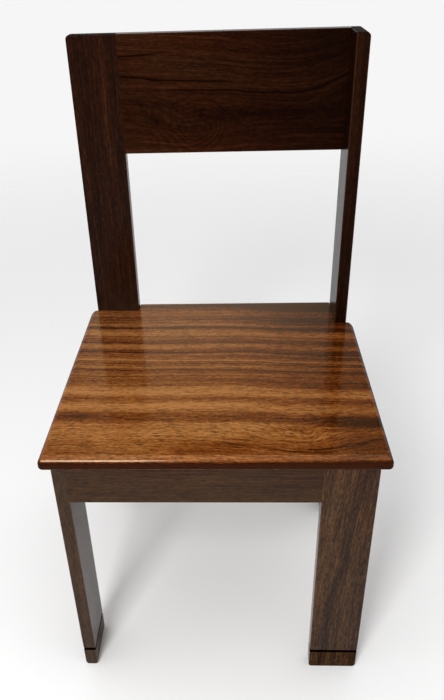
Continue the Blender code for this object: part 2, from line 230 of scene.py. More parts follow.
# Each layer of grain: its scale along, across and through the wood, its seed and its detail
GRAIN_LAYERS = {
    "band": ((1.3, 34.0, 20.0), 11, 2.0),
    "line": ((3.5, 170.0, 90.0), 23, 2.0),
    "dash": ((55.0, 390.0, 200.0), 29, 1.0),
    "fibre": ((16.0, 760.0, 500.0), 37, 1.0),
    "speckle": ((170.0, 430.0, 300.0), 43, 0.0),
    "pore": ((85.0, 820.0, 820.0), 67, 0.0),
}
FINE_LAYERS = ("dash", "fibre", "speckle", "pore")
GRAIN_DEPTH = 0.0002
GROWTH_SLANT = 0.45
MIDDLE_TONE = 0.5
WEAR_AND_HIGHLIGHT_WIDTH = 0.0026
WEAR_AND_HIGHLIGHT_CORE = 0.0006
RED_CAST = (1.10, 0.72, 0.58, 1.0)
PORE_STAIN = (0.004, 0.0014, 0.0006, 1.0)


def lacquered_wood(name, size, shades, seed, figure=None, **looks):
    """Stained wood under lacquer for a plank of that size, with the grain along x. The figure is a
    function that gives how the grain bends on this plank, and where it is paler or darker."""
    look = dict(PLAIN_LOOK, **looks)
    material = bpy.data.materials.new(name)
    material.use_nodes = True
    tree = material.node_tree
    shader = tree.nodes["Principled BSDF"]
    shader.inputs["Specular IOR Level"].default_value = look["specular"]
    shader.inputs["Specular Tint"].default_value = (*look["glow"], 1.0)
    spot = draw(tree, "ShaderNodeTexCoord")
    along, flat, through = draw(tree, "ShaderNodeSeparateXYZ", {0: spot.outputs["Object"]}).outputs

    # Growth runs slantwise through the plank and wanders slowly along it
    across = reckon(tree, "MULTIPLY_ADD", through, GROWTH_SLANT, flat)
    drift = streaks(tree, along, across, through, (2.6, 9.0, 9.0), seed, 1.0)
    across = reckon(tree, "MULTIPLY_ADD", drift, look["wander"], across)
    tone = MIDDLE_TONE
    if figure:
        bend, change = figure(tree, along, across)
        across = reckon(tree, "ADD", across, bend)
        tone = reckon(tree, "ADD", change, tone)
    mottle = streaks(tree, along, across, through, (9.0, 14.0, 9.0), seed + 51, 2.0)
    tone = reckon(tree, "MULTIPLY_ADD", mottle, 0.05, tone)
    layers = {}
    for kind, ((run, width, depth), offset, detail) in GRAIN_LAYERS.items():
        if kind in FINE_LAYERS:
            width *= look["fine"]
        layers[kind] = streaks(tree, along, across, through, (run, width, depth), seed + offset, detail)
    pores = rise(tree, layers.pop("pore"), 0.45, 0.95)
    for kind, layer in layers.items():
        tone = reckon(tree, "MULTIPLY_ADD", layer, look[kind], tone)

    # The long arrises are paler, partly stain rubbed thin and partly a painted highlight. End grain soaks in
    # darker, and faces turned sideways on a board's edge are darkened as painted shade
    arris_wear_and_highlight = 1.0
    for place, extent in ((flat, size[1]), (through, size[2])):
        off = reckon(tree, "ABSOLUTE", place)
        near = rise(tree, off, extent / 2 - WEAR_AND_HIGHLIGHT_WIDTH, extent / 2 - WEAR_AND_HIGHLIGHT_CORE)
        arris_wear_and_highlight = reckon(tree, "MULTIPLY", near, arris_wear_and_highlight)
    tone = reckon(tree, "MULTIPLY_ADD", arris_wear_and_highlight, look["wear_and_highlight"], tone)
    facing = draw(tree, "ShaderNodeSeparateXYZ", {0: spot.outputs["Normal"]}).outputs
    end_grain = rise(tree, reckon(tree, "ABSOLUTE", facing[0]), 0.45, 0.85)
    tone = reckon(tree, "MULTIPLY_ADD", end_grain, -0.2, tone)
    # Faces that turn sideways are darkened by the edge look, painted shade for the light they miss
    painted_edge_shade = rise(tree, reckon(tree, "ABSOLUTE", facing[2]), 0.78, 0.20)
    tone = reckon(tree, "MULTIPLY_ADD", painted_edge_shade, -look["edge"], tone)
    card = [(place, tuple(channel * look["paler"] for channel in shade)) for place, shade in shades]
    colour = shade_card(tree, tone, card)

    # The stain turns redder in patches, and the pores hold it darkest
    patches = streaks(tree, along, across, through, (5.0, 16.0, 9.0), seed + 97, 1.0)
    red = reckon(tree, "MULTIPLY", rise(tree, patches, -0.5, 0.9), look["ruddy"])
    colour = blend_colour(tree, red, colour, RED_CAST, "MULTIPLY")
    filled = reckon(tree, "MULTIPLY", pores, look["pore"])
    colour = blend_colour(tree, filled, colour, PORE_STAIN)
    tree.links.new(colour, shader.inputs["Base Color"])

    smears = streaks(tree, along, across, through, (14.0, 22.0, 14.0), seed + 83, 3.0)
    rough = reckon(tree, "MULTIPLY_ADD", smears, 0.02, look["rough"])
    rough = reckon(tree, "MULTIPLY_ADD", filled, 0.12, rough)
    rough = reckon(tree, "MULTIPLY_ADD", end_grain, 0.4, rough)
    tree.links.new(rough, shader.inputs["Roughness"])
    height = reckon(tree, "MULTIPLY_ADD", pores, -1.0, reckon(tree, "MULTIPLY", layers["fibre"], 0.15))
    roughen(tree, height, look["relief"], GRAIN_DEPTH)
    return material


def sawn_cut():
    """The walls and lips of a saw kerf, painted near black as the shade deep in the groove, and fluffed by
    the saw's teeth.
    """
    material = bpy.data.materials.new("sawn_kerf")
    material.use_nodes = True
    tree = material.node_tree
    shader = tree.nodes["Principled BSDF"]
    shader.inputs["Specular IOR Level"].default_value = 0.0
    shader.inputs["Roughness"].default_value = 0.95
    place = draw(tree, "ShaderNodeTexCoord").outputs["Object"]
    along, across, through = draw(tree, "ShaderNodeSeparateXYZ", {0: place}).outputs
    fluff = streaks(tree, along, across, through, (2500.0, 600.0, 600.0), 7.0, 2.0)
    # Near-black colours: painted shade inside the groove
    groove_shade_card = [(0.0, (0.0012, 0.0005, 0.0003)), (1.0, (0.0050, 0.0020, 0.0010))]
    tree.links.new(shade_card(tree, fluff, groove_shade_card), shader.inputs["Base Color"])
    roughen(tree, fluff, 0.5, GRAIN_DEPTH)
    return material


SAWN_CUT = sawn_cut()


def fit_plank(
    node, along, across, arrises, ends, stain, seed, kerf=None, figure=None, closes=0.0, **looks
):
    """Mills a plank to its node's place, with the grain along one axis and the face across another. What
    it closes at each end is the joint's gap."""
    low, high = (Vector(corner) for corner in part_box(node))
    through = along.cross(across)
    extent = high - low
    size = [sum(abs(a * e) for a, e in zip(axis, extent)) for axis in (along, across, through)]
    size[0] += 2 * closes
    mesh = mill_plank(node, size, arrises, ends, kerf)
    mesh.materials.append(lacquered_wood(node + "_stain", size, stain, seed, figure, **looks))
    if kerf:
        dull = dict(looks, specular=FOOT_SHINE)
        mesh.materials.append(SAWN_CUT)
        mesh.materials.append(lacquered_wood(node + "_foot_stain", size, stain, seed, figure, **dull))
    piece = bpy.data.objects.new(node + "_plank", mesh)
    bpy.context.scene.collection.objects.link(piece)
    turn = Matrix((along, across, through)).transposed().to_4x4()
    piece.matrix_world = Matrix.Translation((low + high) / 2) @ turn
    even = piece.modifiers.new("even_shading", "WEIGHTED_NORMAL")
    even.keep_sharp = True
    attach(piece, "root")
    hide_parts(node)


def drawn_line(tree, along, points):
    """The height of a smooth line through points, at each place along it."""
    runs = [run for run, height in points]
    heights = [height for run, height in points]
    span, low, drop = runs[-1] - runs[0], min(heights), max(heights) - min(heights)
    inputs = {"Value": along, "From Min": runs[0], "From Max": runs[-1]}
    part = draw(tree, "ShaderNodeMapRange", inputs).outputs["Result"]
    line = draw(tree, "ShaderNodeFloatCurve", {"Value": part})
    marks = line.mapping.curves[0].points
    for run, height in points[1:-1]:
        marks.new((run - runs[0]) / span, (height - low) / drop)
    marks[0].location = (0.0, (heights[0] - low) / drop)
    marks[-1].location = (1.0, (heights[-1] - low) / drop)
    line.mapping.update()
    return reckon(tree, "MULTIPLY_ADD", line.outputs[0], drop, low)


LEG_STREAK = [
    (-0.215, -0.021), (-0.105, -0.0185), (-0.045, -0.0165), (0.025, -0.0035), (0.10, 0.0015),
    (0.215, 0.0165),
]
LEG_STREAK_WIDTH = 0.0055


def right_leg_figure(tree, along, across):
    """Grain that leans a little, with a dusky streak from the top right to the bottom left, and a
    darker right side."""
    lean = drawn_line(tree, along, LEG_STREAK)
    off = reckon(tree, "DIVIDE", reckon(tree, "SUBTRACT", across, lean), LEG_STREAK_WIDTH)
    fall = reckon(tree, "MULTIPLY", reckon(tree, "MULTIPLY", off, off), -1.0)
    streak = reckon(tree, "EXPONENT", fall)
    low_right = reckon(tree, "MULTIPLY", rise(tree, across, 0.008, 0.03), rise(tree, along, 0.08, -0.1))
    change = reckon(tree, "MULTIPLY_ADD", streak, -0.32, 0.07)
    change = reckon(tree, "MULTIPLY_ADD", low_right, -0.14, change)
    change = reckon(tree, "MULTIPLY_ADD", across, -1.6, change)
    return reckon(tree, "MULTIPLY", lean, -0.6), change


EDGE_FOOT = [FOOT_EASE, FOOT_EASE, FOOT_ROUND, FOOT_ROUND]
FACE_FOOT = [FOOT_ROUND, FOOT_ROUND, FOOT_EASE, FOOT_EASE]
SAWN = [0.0] * 4
LEG_ARRISES = [TIGHT_ARRIS, ARRIS, TIGHT_ARRIS, ARRIS]
EDGE_LEG = {"specular": 0.16, "paler": 0.92}
FACE_LEG = {"specular": 0.13, "paler": 1.15, "line": 0.20, "dash": 0.19, "fibre": 0.24, "speckle": 0.17}
FACE_LEG["figure"] = right_leg_figure
fit_plank("front_left_leg", UP, BACK, LEG_ARRISES, (EDGE_FOOT, SAWN), BROWN_STAIN_AND_LIGHT, 1.3, KERF, **EDGE_LEG)
fit_plank("front_right_leg", UP, RIGHT, LEG_ARRISES, (FACE_FOOT, SAWN), BROWN_STAIN_AND_LIGHT, 5.9, KERF, **FACE_LEG)

# Rear posts.
# Two longer planks of the same wood, leg and back upright in one piece, on a darker card: partly a darker
# stain and partly painted shade. Their free top edges are rounded over, and the inner ones stay square
# beside the backrest board.

TOP_ROUND = 0.006
# Dark stain for the posts and the backrest board, made darker partly as painted shade
DARK_STAIN_AND_SHADE = [
    (0.00, (0.0042, 0.0010, 0.0004)),
    (0.30, (0.0100, 0.0027, 0.0009)),
    (0.55, (0.0195, 0.0056, 0.0018)),
    (0.80, (0.0330, 0.0104, 0.0037)),
    (1.00, (0.0510, 0.0183, 0.0072)),
]
LEFT_ENDS = (FACE_FOOT, [TOP_ROUND, 0.0, ARRIS, ARRIS])
RIGHT_ENDS = (EDGE_FOOT, [TOP_ROUND, ARRIS, TOP_ROUND, ARRIS])
LEFT_ARRISES = [TIGHT_ARRIS, ARRIS, TIGHT_ARRIS, TIGHT_ARRIS]
LEFT_POST = {"specular": 0.05, "paler": 0.9}
LEFT_POST.update({"band": 0.15, "line": 0.15, "dash": 0.12, "fibre": 0.20, "speckle": 0.11, "pore": 0.4})
# The right post's arrises are much paler still, a painted highlight along them
RIGHT_POST = {"specular": 0.03, "paler": 0.65, "wear_and_highlight": 0.55}
fit_plank("rear_left_post", UP, RIGHT, LEFT_ARRISES, LEFT_ENDS, DARK_STAIN_AND_SHADE, 12.1, KERF, **LEFT_POST)
fit_plank("rear_right_post", UP, BACK, LEG_ARRISES, RIGHT_ENDS, DARK_STAIN_AND_SHADE, 17.7, KERF, **RIGHT_POST)

# Aprons.
# Four rails under the seat, each dowelled between the face of one leg and the edge of the next, flush
# outside. Their grain runs level, and their glued joints are tight.

RAIL_ARRISES = [TIGHT_ARRIS] * 4
RAIL_ENDS = (SAWN, SAWN)
JOINT_GAP = 0.0003
APRON = {"closes": JOINT_GAP, "specular": 0.12, "paler": 1.08}
APRON.update({"band": 0.12, "line": 0.14, "dash": 0.10, "fibre": 0.18, "speckle": 0.07})
APRON_GRAIN = {"front_apron": (RIGHT, 21.3), "right_apron": (BACK, 25.1), "rear_apron": (RIGHT, 29.9)}
APRON_GRAIN["left_apron"] = (BACK, 33.7)
for apron, (grain, seed) in APRON_GRAIN.items():
    fit_plank(apron, grain, UP, RAIL_ARRISES, RAIL_ENDS, BROWN_STAIN_AND_LIGHT, seed, **APRON)

# Backrest board.
# One wide flat-sawn board between the posts, dowelled to both, with dark mineral lines that sweep across
# it and a faint eye in the grain low on the left.

# Each line's points along and across the board, then where it fades in and where it fades out
MINERAL_LINES = [
    ([(-0.178, 0.035), (-0.147, 0.033), (-0.125, 0.029), (-0.097, 0.027), (-0.062, 0.024), (-0.002, 0.020)],
     (-0.19, -0.18), (0.005, -0.03)),
    ([(-0.178, 0.013), (-0.147, 0.015), (-0.102, 0.013), (-0.052, 0.009), (-0.002, 0.0065), (0.033, 0.003),
      (0.063, 0.002), (0.093, 0.001), (0.123, 0.004), (0.148, 0.013), (0.178, 0.027)],
     (-0.20, 0.0), (0.20, 0.185)),
    ([(-0.178, 0.063), (-0.147, 0.064), (-0.112, 0.067), (-0.08, 0.069)],
     (-0.19, -0.18), (-0.10, -0.14)),
]
BACK_SWEEP = [
    (-0.178, 0.024), (-0.10, 0.0185), (-0.03, 0.012), (0.04, 0.004), (0.095, 0.001), (0.135, 0.006),
    (0.178, 0.026),
]
BACK_EYE = {"middle": (-0.066, -0.046), "squash": 1.25, "pitch": 0.0105, "reach": 0.085, "strength": 0.09}

# Each hump's middle and reach, along and across, and its height
BACK_BENDS = [
    ((-0.070, -0.050), (0.060, 0.034), 0.012),
    ((0.155, -0.028), (0.012, 0.010), 0.007),
]
BACK_SHADOWS = [
    ((-0.120, -0.030), (0.006, 0.006), -0.2),
    ((0.055, -0.012), (0.075, 0.016), -0.11),
    ((-0.125, 0.029), (0.004, 0.002), -0.3),
]


def swelling(tree, along, across, middle, reach, height):
    """A rounded hump about one spot of a plank, such as a knot or an eye in the grain."""
    run = reckon(tree, "DIVIDE", reckon(tree, "SUBTRACT", along, middle[0]), reach[0])
    side = reckon(tree, "DIVIDE", reckon(tree, "SUBTRACT", across, middle[1]), reach[1])
    far = reckon(tree, "MULTIPLY_ADD", run, run, reckon(tree, "MULTIPLY", side, side))
    return reckon(tree, "MULTIPLY", reckon(tree, "EXPONENT", reckon(tree, "MULTIPLY", far, -1.0)), height)


def add_swellings(tree, along, across, value, humps):
    """Adds several humps to a value."""
    for middle, reach, height in humps:
        value = reckon(tree, "ADD", value, swelling(tree, along, across, middle, reach, height))
    return value


def eye_rings(tree, along, across, middle, squash, pitch, reach, strength):
    """Faint broken growth rings round one spot, drawn out along the grain, that fade with distance."""
    run = reckon(tree, "SUBTRACT", along, middle[0])
    side = reckon(tree, "MULTIPLY", reckon(tree, "SUBTRACT", across, middle[1]), squash)
    far = reckon(tree, "MULTIPLY_ADD", run, run, reckon(tree, "MULTIPLY", side, side))
    far = reckon(tree, "SQRT", far)
    stray = streaks(tree, along, across, 0.0, (20.0, 26.0, 1.0), 47.0, 0.0)
    bent = reckon(tree, "MULTIPLY_ADD", stray, pitch * 1.1, far)
    ring = reckon(tree, "SINE", reckon(tree, "MULTIPLY", bent, 2 * math.pi / pitch))
    broken = rise(tree, streaks(tree, along, across, 0.0, (34.0, 40.0, 1.0), 63.0, 0.0), -0.9, 0.1)
    fade = reckon(tree, "MULTIPLY", rise(tree, far, reach, reach * 0.4), rise(tree, far, 0.004, 0.024))
    fade = reckon(tree, "MULTIPLY", reckon(tree, "MULTIPLY", fade, broken), strength)
    return reckon(tree, "MULTIPLY", ring, fade)


def backrest_figure(tree, along, across):
    """Grain that sweeps with the dark mineral lines, an eye low on the left, and painted shade that darkens
    it towards the right post.
    """
    sweep = drawn_line(tree, along, BACK_SWEEP)
    held = rise(tree, across, -0.045, 0.0)
    bend = reckon(tree, "MULTIPLY", reckon(tree, "MULTIPLY", sweep, held), -1.0)
    bend = add_swellings(tree, along, across, bend, BACK_BENDS)
    # Painted shade: the board darkens towards the right post
    change = reckon(tree, "MULTIPLY_ADD", rise(tree, along, -0.14, 0.19), -0.32, 0.14)
    rings = eye_rings(tree, along, across, **BACK_EYE)
    change = reckon(tree, "ADD", change, rings)
    change = add_swellings(tree, along, across, change, BACK_SHADOWS)
    for points, start, end in MINERAL_LINES:
        off = reckon(tree, "ABSOLUTE", reckon(tree, "SUBTRACT", across, drawn_line(tree, along, points)))
        core = reckon(tree, "SUBTRACT", 1.0, rise(tree, off, 0.0004, 0.0016))
        haze = reckon(tree, "SUBTRACT", 1.0, rise(tree, off, 0.0, 0.007))
        ink = reckon(tree, "MULTIPLY_ADD", core, -0.55, reckon(tree, "MULTIPLY", haze, -0.12))
        ink = reckon(tree, "MULTIPLY", ink, rise(tree, along, *start))
        ink = reckon(tree, "MULTIPLY", ink, rise(tree, along, *end))
        change = reckon(tree, "ADD", change, ink)
    return bend, change


BACKREST = {"figure": backrest_figure, "closes": JOINT_GAP, "specular": 0.015, "paler": 1.0, "pore": 0.4}
BACKREST.update({"band": 0.18, "line": 0.16, "dash": 0.10, "fibre": 0.14, "speckle": 0.09})
fit_plank("backrest_board", RIGHT, UP, RAIL_ARRISES, RAIL_ENDS, DARK_STAIN_AND_SHADE, 41.0, **BACKREST)

# Seat board.
# One broad board of lighter ribbon-grained hardwood, rounded over above and less below, notched round the
# posts and screwed down from below. Its top is the glossiest of the chair, and its ends and lower edge dull.

SEAT_SHADES = [
    (0.00, (0.030, 0.0068, 0.0011)),
    (0.12, (0.058, 0.0132, 0.0020)),
    (0.25, (0.098, 0.0225, 0.0034)),
    (0.50, (0.182, 0.0500, 0.0080)),
    (0.75, (0.290, 0.1090, 0.0250)),
    (1.00, (0.395, 0.1680, 0.0490)),
]
SEAT_ROUND = 0.011
SEAT_ROUND_STEPS = 10
SEAT_EASING = 0.0055
SEAT_EASING_STEPS = 6
SEAT_CORNER = 0.006
LEAST_CORNER = 0.0008
seat_low, seat_high = (Vector(corner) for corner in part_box("seat_board"))
left_post = [Vector(corner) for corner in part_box("rear_left_post")]
right_post = [Vector(corner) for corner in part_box("rear_right_post")]


def edge_levels(radius, steps):
    """Levels of a rounded edge, from the board's face: each one's inset and its depth."""
    levels = []
    for step in range(steps + 1):
        angle = step / steps * math.pi / 2
        levels.append((radius * (1 - math.sin(angle)), radius * (1 - math.cos(angle))))
    return levels


def seat_outline(inset, steps=8):
    """The seat's plan at one level of its rounded edge. Notch walls stay, and free edges come in."""
    right_wall = right_post[0].x - JOINT_GAP
    right_stop = right_post[0].y - JOINT_GAP
    left_wall = left_post[1].x + JOINT_GAP
    left_stop = left_post[0].y - JOINT_GAP
    turn = SEAT_CORNER
    near = max(turn - inset, LEAST_CORNER)
    free = seat_high.x - inset - near
    corners = [
        (-free, -free, 2, near, near),
        (free, -free, 3, near, near),
        (free, right_stop - turn, 0, near, turn),
        (right_wall, right_stop, None, 0, 0),
        (right_wall - turn, free, 0, turn, near),
        (left_wall + turn, free, 1, turn, near),
        (left_wall, left_stop, None, 0, 0),
        (-free, left_stop - turn, 1, near, turn),
    ]
    outline = []
    for x, y, quarter, reach_x, reach_y in corners:
        if quarter is None:
            outline.append((x, y))
            continue
        for step in range(steps + 1):
            angle = (quarter + step / steps) * math.pi / 2
            outline.append((x + reach_x * math.cos(angle), y + reach_y * math.sin(angle)))
    return outline


# How pale the ribbons are, at distances from the rear edge
RIBBONS = [
    (0.000, 0.42), (0.018, 0.26), (0.034, 0.47), (0.052, 0.56), (0.063, 0.40), (0.076, 0.60), (0.088, 0.72),
    (0.103, 0.40), (0.117, 0.76), (0.136, 0.68), (0.150, 0.36), (0.166, 0.74), (0.183, 0.32), (0.191, 0.62),
    (0.201, 0.42), (0.212, 0.80), (0.224, 0.54), (0.233, 0.68), (0.248, 0.36), (0.260, 0.62), (0.280, 0.46),
    (0.311, 0.96), (0.329, 0.54), (0.350, 0.90), (0.375, 0.40), (0.392, 0.74), (0.406, 0.84), (0.430, 0.76),
    (0.452, 0.66), (0.478, 0.70),
]
RIBBON_MIDDLE = 0.55
SEAT_BOW = [(-0.239, -0.005), (-0.10, 0.0), (0.03, 0.0), (0.11, 0.007), (0.239, 0.013)]

# Each shadow's middle and reach, along and across, and its depth
SEAT_SHADOWS = [
    ((0.210, -0.180), (0.048, 0.045), -0.38),
    ((0.010, -0.208), (0.060, 0.018), -0.26),
    ((-0.20, -0.131), (0.028, 0.008), -0.2),
]


def seat_figure(tree, along, across):
    """Bowed ribbons by their distance from the rear edge, thin dark threads among the rear ones, painted
    shade at the front left, down the right side and at the rear right, shadow patches, and a curl at the
    front right."""
    bow = drawn_line(tree, along, SEAT_BOW)
    sway = streaks(tree, along, across, 0.0, (5.0, 16.0, 1.0), 61.0, 1.0)
    behind = reckon(tree, "SUBTRACT", seat_high.y, reckon(tree, "ADD", across, bow))
    behind = reckon(tree, "MULTIPLY_ADD", sway, 0.003, behind)
    fade = streaks(tree, along, across, 0.0, (4.0, 30.0, 1.0), 67.0, 1.0)
    strength = reckon(tree, "MULTIPLY_ADD", fade, 0.25, 1.05)
    ribbon = reckon(tree, "SUBTRACT", drawn_line(tree, behind, RIBBONS), RIBBON_MIDDLE)
    change = reckon(tree, "MULTIPLY_ADD", ribbon, strength, 0.06)
    threads = rise(tree, streaks(tree, along, behind, 0.0, (1.0, 240.0, 1.0), 71.0, 0.0), 0.20, 0.65)
    threads = reckon(tree, "MULTIPLY", threads, rise(tree, behind, 0.34, 0.24))
    change = reckon(tree, "MULTIPLY_ADD", threads, -0.28, change)
    stipple = streaks(tree, along, behind, 0.0, (230.0, 330.0, 1.0), 97.0, 0.0)
    change = reckon(tree, "MULTIPLY_ADD", stipple, 0.08, change)
    # Painted shade at the front left: the left post's shadow and its dark reflection in the seat
    front_left = reckon(tree, "MULTIPLY", rise(tree, along, -0.10, -0.24), rise(tree, behind, 0.24, 0.34))
    change = reckon(tree, "MULTIPLY_ADD", front_left, -0.10, change)
    # Painted shade: darker along the right side and at the rear right, away from the light at the front left
    change = reckon(tree, "MULTIPLY_ADD", rise(tree, along, -0.02, 0.22), -0.26, change)
    rear_right = reckon(tree, "MULTIPLY", rise(tree, along, -0.06, 0.12), rise(tree, behind, 0.14, 0.06))
    change = reckon(tree, "MULTIPLY_ADD", rear_right, -0.13, change)
    change = add_swellings(tree, along, across, change, SEAT_SHADOWS)
    curl = swelling(tree, along, across, (0.105, -0.198), (0.090, 0.038), 1.0)
    wave = streaks(tree, along, across, 0.0, (17.0, 15.0, 1.0), 79.0, 1.0)
    bend = reckon(tree, "MULTIPLY", reckon(tree, "MULTIPLY", wave, curl), 0.014)
    bend = reckon(tree, "MULTIPLY_ADD", curl, 0.024, bend)
    curled = reckon(tree, "ADD", across, bend)
    veins = rise(tree, streaks(tree, along, curled, 0.0, (9.0, 170.0, 1.0), 89.0, 0.0), 0.25, 0.65)
    change = reckon(tree, "MULTIPLY_ADD", reckon(tree, "MULTIPLY", veins, curl), -0.40, change)
    return bend, change


half_thick = (seat_high.z - seat_low.z) / 2
rings = []
for inset, depth in edge_levels(SEAT_EASING, SEAT_EASING_STEPS):
    rings.append([(x, y, depth - half_thick) for x, y in seat_outline(inset)])
for inset, depth in reversed(edge_levels(SEAT_ROUND, SEAT_ROUND_STEPS)):
    rings.append([(x, y, half_thick - depth) for x, y in seat_outline(inset)])
seat = bpy.data.objects.new("seat_board_finished", skin_over("seat_board", rings))
seat.location.z = seat_low.z + half_thick
bpy.context.scene.collection.objects.link(seat)

# The first coat is on the flat top, the next on the upper round and the underside, and the last on the ends
# and the rest of the edge. A face takes its coat by which way it faces
TOP_COAT = 0
ROUND_COAT = 1
EDGE_COAT = 2
END_FACING = 0.3
UNDERSIDE_FACING = -0.99
ROUND_FACING = 0.45
TOP_FACING = 0.98
for face in seat.data.polygons:
    end_grain = abs(face.normal.x) > END_FACING
    if end_grain or UNDERSIDE_FACING < face.normal.z < ROUND_FACING:
        face.material_index = EDGE_COAT
    elif face.normal.z < TOP_FACING:
        face.material_index = ROUND_COAT
    else:
        face.material_index = TOP_COAT
SEAT_FINISH = {"band": 0.05, "line": 0.13, "dash": 0.12, "fibre": 0.16, "speckle": 0.10, "pore": 0.85}
# The edge look paints shade on the seat's sideways faces
SEAT_FINISH.update({"fine": 1.4, "wander": 0.002, "ruddy": 0.15, "edge": 0.9, "relief": 0.06})
SEAT_COATS = {
    "seat_top_lacquer": {"specular": 0.9, "rough": 0.10, "glow": (1.0, 0.56, 0.08)},
    "seat_round_lacquer": {"specular": 0.32, "rough": 0.11, "glow": (1.0, 0.79, 0.54)},
    "seat_edge_lacquer": {"specular": 0.04, "rough": 0.13},
}
for coat, gloss in SEAT_COATS.items():
    finish = dict(SEAT_FINISH, **gloss)
    wood = lacquered_wood(coat, seat_high - seat_low, SEAT_SHADES, 53.0, seat_figure, **finish)
    seat.data.materials.append(wood)
even = seat.modifiers.new("even_shading", "WEIGHTED_NORMAL")
even.keep_sharp = True
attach(seat, "root")
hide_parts("seat_board")

# Corner blocks.
# Triangular blocks of plain planed hardwood, glued and screwed inside each corner of the frame. They are
# left unstained, so they are paler than what they hold.

RAW_SHADES = [
    (0.0, (0.16, 0.075, 0.030)),
    (0.5, (0.30, 0.165, 0.075)),
    (1.0, (0.44, 0.270, 0.140)),
]


def bare_wood(name, shades, turn, seed, rough):
    """Planed wood without a finish. The turn, about the upright axis, brings its grain along x."""
    material = bpy.data.materials.new(name)
    material.use_nodes = True
    tree = material.node_tree
    shader = tree.nodes["Principled BSDF"]
    shader.inputs["Specular IOR Level"].default_value = 0.3
    place = draw(tree, "ShaderNodeTexCoord").outputs["Object"]
    inputs = {"Vector": place, "Axis": (0.0, 0.0, 1.0), "Angle": turn}
    turned = draw(tree, "ShaderNodeVectorRotate", inputs).outputs[0]
    along, across, through = draw(tree, "ShaderNodeSeparateXYZ", {0: turned}).outputs
    bands = streaks(tree, along, across, through, (5.0, 70.0, 70.0), seed, 2.0)
    fibres = streaks(tree, along, across, through, (30.0, 900.0, 900.0), seed + 9, 1.0)
    rays = streaks(tree, along, across, through, (160.0, 900.0, 900.0), seed + 17, 0.0)
    flecks = rise(tree, rays, 0.4, 1.0)
    tone = reckon(tree, "MULTIPLY_ADD", bands, 0.22, MIDDLE_TONE)
    tone = reckon(tree, "MULTIPLY_ADD", fibres, 0.12, tone)
    tone = reckon(tree, "MULTIPLY_ADD", flecks, -0.25, tone)
    tree.links.new(shade_card(tree, tone, shades), shader.inputs["Base Color"])
    tree.links.new(reckon(tree, "MULTIPLY_ADD", flecks, 0.1, rough), shader.inputs["Roughness"])
    roughen(tree, fibres, 0.3, GRAIN_DEPTH)
    return material


CORNERS = {"front_left": 45, "front_right": -45, "rear_right": 45, "rear_left": -45}
for seed, (corner, lean) in enumerate(CORNERS.items()):
    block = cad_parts[corner + "_corner_block"]
    planed = bare_wood(corner + "_block_wood", RAW_SHADES, math.radians(lean), 3.0 + 7 * seed, 0.6)
    block.material_slots[0].material = planed

# Dowels.
# Turned pins of pale hardwood, glued across every joint of the aprons and of the backrest board. They are
# wholly inside the wood when the chair is together.

PALE_SHADES = [
    (0.0, (0.36, 0.22, 0.11)),
    (0.5, (0.52, 0.36, 0.20)),
    (1.0, (0.66, 0.50, 0.31)),
]
grain_level = bare_wood("dowel_wood_sideways", PALE_SHADES, 0.0, 31.0, 0.55)
grain_deep = bare_wood("dowel_wood_lengthways", PALE_SHADES, math.radians(90), 37.0, 0.55)
for name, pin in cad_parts.items():
    if "_dowel_" in name:
        corner_low, corner_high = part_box(name)
        sideways = corner_high[0] - corner_low[0] > corner_high[1] - corner_low[1]
        pin.material_slots[0].material = grain_level if sideways else grain_deep

# Screws.
# Zinc-plated wood screws with pan heads, driven through the corner blocks into the legs, the aprons and
# the underside of the seat.

SCUFF_DEPTH = 0.0001
ZINC_SHADES = [(0.0, (0.30, 0.29, 0.27)), (0.5, (0.50, 0.50, 0.48)), (1.0, (0.66, 0.66, 0.65))]
zinc = bpy.data.materials.new("zinc_plate")
zinc.use_nodes = True
tree = zinc.node_tree
shader = tree.nodes["Principled BSDF"]
shader.inputs["Metallic"].default_value = 1.0
place = draw(tree, "ShaderNodeTexCoord").outputs["Object"]
x, y, z = draw(tree, "ShaderNodeSeparateXYZ", {0: place}).outputs
cloud = streaks(tree, x, y, z, (240.0, 240.0, 240.0), 5.0, 3.0)
scuffs = streaks(tree, x, y, z, (1500.0, 1500.0, 1500.0), 9.0, 2.0)
bright = reckon(tree, "MULTIPLY_ADD", cloud, 0.3, MIDDLE_TONE)
tree.links.new(shade_card(tree, bright, ZINC_SHADES), shader.inputs["Base Color"])
tree.links.new(reckon(tree, "MULTIPLY_ADD", scuffs, 0.08, 0.34), shader.inputs["Roughness"])
roughen(tree, scuffs, 0.15, SCUFF_DEPTH)
for name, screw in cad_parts.items():
    if name.endswith("_screw"):
        screw.material_slots[0].material = zinc

# Floor, lamps and camera.
# A pale floor that melts into a pale surround and is clear from beneath, light from above and a lamp like a
# window in front on the left. The room's walls are dusky, but for a lit patch behind that the seat mirrors.

FLOOR_RADIUS = 4.0
FLOOR_MELT = (0.8, 3.8)
floor_mesh = bpy.data.meshes.new("floor")
bm = bmesh.new()
bmesh.ops.create_circle(bm, cap_ends=True, segments=96, radius=FLOOR_RADIUS)
bm.to_mesh(floor_mesh)
bm.free()
floor = bpy.data.objects.new("floor", floor_mesh)
bpy.context.scene.collection.objects.link(floor)
pale = bpy.data.materials.new("pale_floor")
pale.use_nodes = True
tree = pale.node_tree
matt = tree.nodes["Principled BSDF"]
matt.inputs["Base Color"].default_value = (0.93, 0.93, 0.93, 1.0)
matt.inputs["Roughness"].default_value = 0.9
matt.inputs["Specular IOR Level"].default_value = 0.1
spot = draw(tree, "ShaderNodeTexCoord").outputs["Object"]
distance = draw(tree, "ShaderNodeVectorMath", {0: spot}, operation="LENGTH").outputs["Value"]
clear = draw(tree, "ShaderNodeBsdfTransparent")
beneath = draw(tree, "ShaderNodeNewGeometry").outputs["Backfacing"]
away = reckon(tree, "MAXIMUM", rise(tree, distance, *FLOOR_MELT), beneath)
